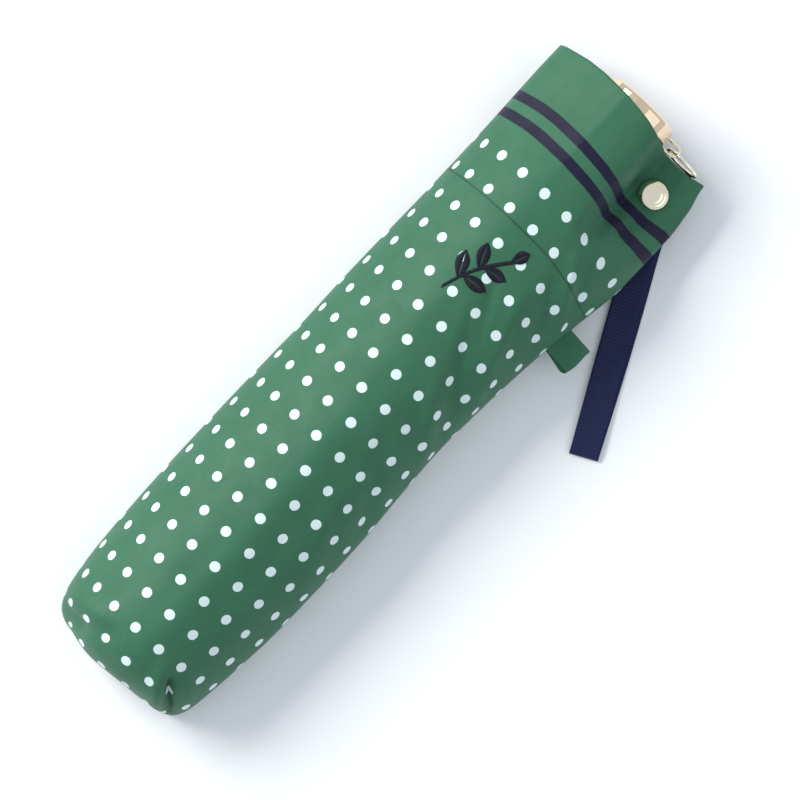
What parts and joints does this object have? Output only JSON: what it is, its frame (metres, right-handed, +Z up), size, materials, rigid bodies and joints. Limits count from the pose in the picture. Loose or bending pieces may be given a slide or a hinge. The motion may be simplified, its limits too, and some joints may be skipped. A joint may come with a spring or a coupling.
{
  "type": "children's folding umbrella",
  "caption": "Children's folding umbrella lying in its polka-dot snap sleeve, with a wrist strap; ribs, runner, shaft, canopy and sleeve all move.",
  "frame": {"origin": "on the surface the sleeve lies on, under the shaft axis and beside the middle of the sleeve's length", "axes": "+X along the shaft from the crown (closed end of the sleeve) to the handle, +Z up from the surface, +Y towards the sleeve's straight side, away from the snap"},
  "size_m": [0.254, 0.1011, 0.0385],
  "materials": {
    "green_cloth": "satin, printed with pale dots and two dark stripes round the sleeve's mouth",
    "navy_ribbon": "ribbed grosgrain",
    "pale_gold": "polished pale gold",
    "rib_steel": "plated",
    "navy_plastic": "satin",
    "black_plastic": "moulded"
  },
  "bodies": {
    "umbrella_root": {"upper_tube": "rib_steel", "crown": "black_plastic", "crown_wire": "rib_steel", "ferrule_cap": "pale_gold", "canopy_wrap": "green_cloth"},
    "sleeve_body": {"sleeve": "green_cloth", "sleeve_tab": "green_cloth", "snap_stud": "pale_gold", "snap_post": "pale_gold"},
    "snap_front": {"snap_cap": "pale_gold", "snap_socket": "pale_gold"},
    "middle_shaft": {"middle_tube": "rib_steel"},
    "handle": {"lower_tube": "rib_steel", "handle_grip": "navy_plastic", "handle_end_cap": "pale_gold", "strap_eye": "pale_gold"},
    "ring": {"strap_ring": "pale_gold"},
    "strap": {"wrist_strap": "navy_ribbon"},
    "runner_body": {"runner": "black_plastic", "runner_wire": "rib_steel"},
    "catch": {"runner_catch": "black_plastic"},
    "rib_inner_1": {"rib_inner_1": "rib_steel"},
    "stretcher_1": {"stretcher_1": "rib_steel"},
    "rib_middle_1": {"rib_middle_1": "rib_steel"},
    "rib_outer_1": {"rib_outer_1": "rib_steel", "tie_band": "green_cloth"},
    "rib_inner_2": {"rib_inner_2": "rib_steel"},
    "stretcher_2": {"stretcher_2": "rib_steel"},
    "rib_middle_2": {"rib_middle_2": "rib_steel"},
    "rib_outer_2": {"rib_outer_2": "rib_steel"},
    "rib_inner_3": {"rib_inner_3": "rib_steel"},
    "stretcher_3": {"stretcher_3": "rib_steel"},
    "rib_middle_3": {"rib_middle_3": "rib_steel"},
    "rib_outer_3": {"rib_outer_3": "rib_steel"},
    "rib_inner_4": {"rib_inner_4": "rib_steel"},
    "stretcher_4": {"stretcher_4": "rib_steel"},
    "rib_middle_4": {"rib_middle_4": "rib_steel"},
    "rib_outer_4": {"rib_outer_4": "rib_steel"},
    "rib_inner_5": {"rib_inner_5": "rib_steel"},
    "stretcher_5": {"stretcher_5": "rib_steel"},
    "rib_middle_5": {"rib_middle_5": "rib_steel"},
    "rib_outer_5": {"rib_outer_5": "rib_steel"},
    "rib_inner_6": {"rib_inner_6": "rib_steel"},
    "stretcher_6": {"stretcher_6": "rib_steel"},
    "rib_middle_6": {"rib_middle_6": "rib_steel"},
    "rib_outer_6": {"rib_outer_6": "rib_steel"},
    "canopy_inner_1": {"canopy_inner_1": "green_cloth"},
    "canopy_middle_1": {"canopy_middle_1": "green_cloth"},
    "canopy_outer_1": {"canopy_outer_1": "green_cloth"},
    "canopy_inner_2": {"canopy_inner_2": "green_cloth"},
    "canopy_middle_2": {"canopy_middle_2": "green_cloth"},
    "canopy_outer_2": {"canopy_outer_2": "green_cloth"},
    "canopy_inner_3": {"canopy_inner_3": "green_cloth"},
    "canopy_middle_3": {"canopy_middle_3": "green_cloth"},
    "canopy_outer_3": {"canopy_outer_3": "green_cloth"}
  },
  "joints": [
    {"name": "sleeve_slide", "type": "slide", "parent": "umbrella_root", "child": "sleeve_body", "axis": [-1, 0, 0], "range_m": [0, 0.27]},
    {"name": "snap_release", "type": "slide", "parent": "sleeve_body", "child": "snap_front", "axis": [0, 0, 1], "range_m": [0, 0.0025]},
    {"name": "middle_tube_slide", "type": "slide", "parent": "umbrella_root", "child": "middle_shaft", "axis": [1, 0, 0], "range_m": [0, 0.145]},
    {"name": "handle_slide", "type": "slide", "parent": "middle_shaft", "child": "handle", "axis": [1, 0, 0], "range_m": [0, 0.145]},
    {"name": "ring_swing", "type": "hinge", "parent": "handle", "child": "ring", "pos_m": [0.124, -0.0187, 0.0193], "axis": [1, 0, 0], "range_deg": [0, 30]},
    {"name": "strap_swing", "type": "hinge", "parent": "ring", "child": "strap", "pos_m": [0.124, -0.02358, 0.009], "axis": [0, 0, 1], "range_deg": [0, 60]},
    {"name": "runner_slide", "type": "slide", "parent": "umbrella_root", "child": "runner_body", "axis": [-1, 0, 0], "range_m": [0, 0.11471], "deforming": ["sleeve", "canopy_wrap", "tie_band", "canopy_inner_1", "canopy_inner_2", "canopy_inner_3", "canopy_middle_1", "canopy_middle_2", "canopy_middle_3", "canopy_outer_1", "canopy_outer_2", "canopy_outer_3"]},
    {"name": "catch_press", "type": "slide", "parent": "umbrella_root", "child": "catch", "axis": [0, -1, 0], "range_m": [0, 0.0009], "stiffness_N_per_m": 250, "springref_m": -0.0006},
    {"name": "rib_inner_hinge_1", "type": "hinge", "parent": "umbrella_root", "child": "rib_inner_1", "pos_m": [-0.107, 0.00693, 0.0233], "axis": [0, -0.5, 0.866], "range_deg": [0, 78.05]},
    {"name": "stretcher_hinge_1", "type": "hinge", "parent": "runner_body", "child": "stretcher_1", "pos_m": [0.058, 0.0082, 0.02149], "axis": [0, -0.5, 0.866], "range_deg": [-66.86, 0]},
    {"name": "rib_middle_hinge_1", "type": "hinge", "parent": "rib_inner_1", "child": "rib_middle_1", "pos_m": [0.051, 0.00756, 0.02621], "axis": [0, -0.5, 0.866], "range_deg": [-186.05, 0]},
    {"name": "rib_outer_hinge_1", "type": "hinge", "parent": "rib_middle_1", "child": "rib_outer_1", "pos_m": [-0.105, 0.01152, 0.02595], "axis": [0, -0.5, 0.866], "range_deg": [0, 174.05]},
    {"name": "rib_inner_hinge_2", "type": "hinge", "parent": "umbrella_root", "child": "rib_inner_2", "pos_m": [-0.107, 0, 0.0273], "axis": [0, -1, 0], "range_deg": [0, 78.05]},
    {"name": "stretcher_hinge_2", "type": "hinge", "parent": "runner_body", "child": "stretcher_2", "pos_m": [0.058, 0.0022, 0.0275], "axis": [0, -1, 0], "range_deg": [-66.86, 0]},
    {"name": "rib_middle_hinge_2", "type": "hinge", "parent": "rib_inner_2", "child": "rib_middle_2", "pos_m": [0.051, -0.0022, 0.0293], "axis": [0, -1, 0], "range_deg": [-186.05, 0]},
    {"name": "rib_outer_hinge_2", "type": "hinge", "parent": "rib_middle_2", "child": "rib_outer_2", "pos_m": [-0.105, 0, 0.0326], "axis": [0, -1, 0], "range_deg": [0, 174.05]},
    {"name": "rib_inner_hinge_3", "type": "hinge", "parent": "umbrella_root", "child": "rib_inner_3", "pos_m": [-0.107, -0.00693, 0.0233], "axis": [0, -0.5, -0.866], "range_deg": [0, 78.05]},
    {"name": "stretcher_hinge_3", "type": "hinge", "parent": "runner_body", "child": "stretcher_3", "pos_m": [0.058, -0.006, 0.02531], "axis": [0, -0.5, -0.866], "range_deg": [-66.86, 0]},
    {"name": "rib_middle_hinge_3", "type": "hinge", "parent": "rib_inner_3", "child": "rib_middle_3", "pos_m": [0.051, -0.00976, 0.02239], "axis": [0, -0.5, -0.866], "range_deg": [-186.05, 0]},
    {"name": "rib_outer_hinge_3", "type": "hinge", "parent": "rib_middle_3", "child": "rib_outer_3", "pos_m": [-0.105, -0.01152, 0.02595], "axis": [0, -0.5, -0.866], "range_deg": [0, 174.05]},
    {"name": "rib_inner_hinge_4", "type": "hinge", "parent": "umbrella_root", "child": "rib_inner_4", "pos_m": [-0.107, -0.00693, 0.0153], "axis": [0, 0.5, -0.866], "range_deg": [0, 78.05]},
    {"name": "stretcher_hinge_4", "type": "hinge", "parent": "runner_body", "child": "stretcher_4", "pos_m": [0.058, -0.0082, 0.01711], "axis": [0, 0.5, -0.866], "range_deg": [-66.86, 0]},
    {"name": "rib_middle_hinge_4", "type": "hinge", "parent": "rib_inner_4", "child": "rib_middle_4", "pos_m": [0.051, -0.00756, 0.01239], "axis": [0, 0.5, -0.866], "range_deg": [-186.05, 0]},
    {"name": "rib_outer_hinge_4", "type": "hinge", "parent": "rib_middle_4", "child": "rib_outer_4", "pos_m": [-0.105, -0.01152, 0.01265], "axis": [0, 0.5, -0.866], "range_deg": [0, 174.05]},
    {"name": "rib_inner_hinge_5", "type": "hinge", "parent": "umbrella_root", "child": "rib_inner_5", "pos_m": [-0.107, 0, 0.0113], "axis": [0, 1, 0], "range_deg": [0, 78.05]},
    {"name": "stretcher_hinge_5", "type": "hinge", "parent": "runner_body", "child": "stretcher_5", "pos_m": [0.058, -0.0022, 0.0111], "axis": [0, 1, 0], "range_deg": [-66.86, 0]},
    {"name": "rib_middle_hinge_5", "type": "hinge", "parent": "rib_inner_5", "child": "rib_middle_5", "pos_m": [0.051, 0.0022, 0.0093], "axis": [0, 1, 0], "range_deg": [-186.05, 0]},
    {"name": "rib_outer_hinge_5", "type": "hinge", "parent": "rib_middle_5", "child": "rib_outer_5", "pos_m": [-0.105, 0, 0.006], "axis": [0, 1, 0], "range_deg": [0, 174.05]},
    {"name": "rib_inner_hinge_6", "type": "hinge", "parent": "umbrella_root", "child": "rib_inner_6", "pos_m": [-0.107, 0.00693, 0.0153], "axis": [0, 0.5, 0.866], "range_deg": [0, 78.05]},
    {"name": "stretcher_hinge_6", "type": "hinge", "parent": "runner_body", "child": "stretcher_6", "pos_m": [0.058, 0.006, 0.01329], "axis": [0, 0.5, 0.866], "range_deg": [-66.86, 0]},
    {"name": "rib_middle_hinge_6", "type": "hinge", "parent": "rib_inner_6", "child": "rib_middle_6", "pos_m": [0.051, 0.00976, 0.01621], "axis": [0, 0.5, 0.866], "range_deg": [-186.05, 0]},
    {"name": "rib_outer_hinge_6", "type": "hinge", "parent": "rib_middle_6", "child": "rib_outer_6", "pos_m": [-0.105, 0.01152, 0.01265], "axis": [0, 0.5, 0.866], "range_deg": [0, 174.05]},
    {"name": "canopy_inner_spread_1", "type": "hinge", "parent": "rib_inner_1", "child": "canopy_inner_1", "pos_m": [-0.11177, -0.00694, 0.01529], "axis": [0.2079, -0.8471, -0.4891], "range_deg": [0, 120.05]},
    {"name": "canopy_middle_spread_1", "type": "hinge", "parent": "rib_middle_1", "child": "canopy_middle_1", "pos_m": [0.19854, 0.07212, 0.06094], "axis": [-0.309, 0.8236, 0.4755], "range_deg": [0, 120.05]},
    {"name": "canopy_outer_spread_1", "type": "hinge", "parent": "rib_outer_1", "child": "canopy_outer_1", "pos_m": [-0.37435, -0.12527, -0.05303], "axis": [0.4067, -0.7912, -0.4568], "range_deg": [0, 120.05]},
    {"name": "canopy_inner_spread_2", "type": "hinge", "parent": "rib_inner_3", "child": "canopy_inner_2", "pos_m": [-0.11177, 0.00694, 0.01529], "axis": [0.2079, 0.8471, -0.4891], "range_deg": [0, 120.05]},
    {"name": "canopy_middle_spread_2", "type": "hinge", "parent": "rib_middle_3", "child": "canopy_middle_2", "pos_m": [0.19854, -0.07212, 0.06094], "axis": [-0.309, -0.8236, 0.4755], "range_deg": [0, 120.05]},
    {"name": "canopy_outer_spread_2", "type": "hinge", "parent": "rib_outer_3", "child": "canopy_outer_2", "pos_m": [-0.37435, 0.12527, -0.05303], "axis": [0.4067, 0.7912, -0.4568], "range_deg": [0, 120.05]},
    {"name": "canopy_inner_spread_3", "type": "hinge", "parent": "rib_inner_5", "child": "canopy_inner_3", "pos_m": [-0.11177, 0, 0.02732], "axis": [0.2079, 0, 0.9781], "range_deg": [0, 120.05]},
    {"name": "canopy_middle_spread_3", "type": "hinge", "parent": "rib_middle_5", "child": "canopy_middle_3", "pos_m": [0.19854, 0, -0.06398], "axis": [-0.309, 0, -0.9511], "range_deg": [0, 120.05]},
    {"name": "canopy_outer_spread_3", "type": "hinge", "parent": "rib_outer_5", "child": "canopy_outer_3", "pos_m": [-0.37435, 0, 0.16395], "axis": [0.4067, 0, 0.9135], "range_deg": [0, 120.05]}
  ],
  "couplings": [
    {"joint": "rib_inner_hinge_1", "follows": "runner_slide", "rad_per_m": 11.868},
    {"joint": "stretcher_hinge_1", "follows": "runner_slide", "rad_per_m": -10.165},
    {"joint": "rib_middle_hinge_1", "follows": "runner_slide", "rad_per_m": -28.301},
    {"joint": "rib_outer_hinge_1", "follows": "runner_slide", "rad_per_m": 26.475},
    {"joint": "rib_inner_hinge_2", "follows": "runner_slide", "rad_per_m": 11.868},
    {"joint": "stretcher_hinge_2", "follows": "runner_slide", "rad_per_m": -10.165},
    {"joint": "rib_middle_hinge_2", "follows": "runner_slide", "rad_per_m": -28.301},
    {"joint": "rib_outer_hinge_2", "follows": "runner_slide", "rad_per_m": 26.475},
    {"joint": "rib_inner_hinge_3", "follows": "runner_slide", "rad_per_m": 11.868},
    {"joint": "stretcher_hinge_3", "follows": "runner_slide", "rad_per_m": -10.165},
    {"joint": "rib_middle_hinge_3", "follows": "runner_slide", "rad_per_m": -28.301},
    {"joint": "rib_outer_hinge_3", "follows": "runner_slide", "rad_per_m": 26.475},
    {"joint": "rib_inner_hinge_4", "follows": "runner_slide", "rad_per_m": 11.868},
    {"joint": "stretcher_hinge_4", "follows": "runner_slide", "rad_per_m": -10.165},
    {"joint": "rib_middle_hinge_4", "follows": "runner_slide", "rad_per_m": -28.301},
    {"joint": "rib_outer_hinge_4", "follows": "runner_slide", "rad_per_m": 26.475},
    {"joint": "rib_inner_hinge_5", "follows": "runner_slide", "rad_per_m": 11.868},
    {"joint": "stretcher_hinge_5", "follows": "runner_slide", "rad_per_m": -10.165},
    {"joint": "rib_middle_hinge_5", "follows": "runner_slide", "rad_per_m": -28.301},
    {"joint": "rib_outer_hinge_5", "follows": "runner_slide", "rad_per_m": 26.475},
    {"joint": "rib_inner_hinge_6", "follows": "runner_slide", "rad_per_m": 11.868},
    {"joint": "stretcher_hinge_6", "follows": "runner_slide", "rad_per_m": -10.165},
    {"joint": "rib_middle_hinge_6", "follows": "runner_slide", "rad_per_m": -28.301},
    {"joint": "rib_outer_hinge_6", "follows": "runner_slide", "rad_per_m": 26.475},
    {"joint": "canopy_inner_spread_1", "follows": "runner_slide", "rad_per_m": 18.258},
    {"joint": "canopy_middle_spread_1", "follows": "runner_slide", "rad_per_m": 18.258},
    {"joint": "canopy_outer_spread_1", "follows": "runner_slide", "rad_per_m": 18.258},
    {"joint": "canopy_inner_spread_2", "follows": "runner_slide", "rad_per_m": 18.258},
    {"joint": "canopy_middle_spread_2", "follows": "runner_slide", "rad_per_m": 18.258},
    {"joint": "canopy_outer_spread_2", "follows": "runner_slide", "rad_per_m": 18.258},
    {"joint": "canopy_inner_spread_3", "follows": "runner_slide", "rad_per_m": 18.258},
    {"joint": "canopy_middle_spread_3", "follows": "runner_slide", "rad_per_m": 18.258},
    {"joint": "canopy_outer_spread_3", "follows": "runner_slide", "rad_per_m": 18.258}
  ]
}
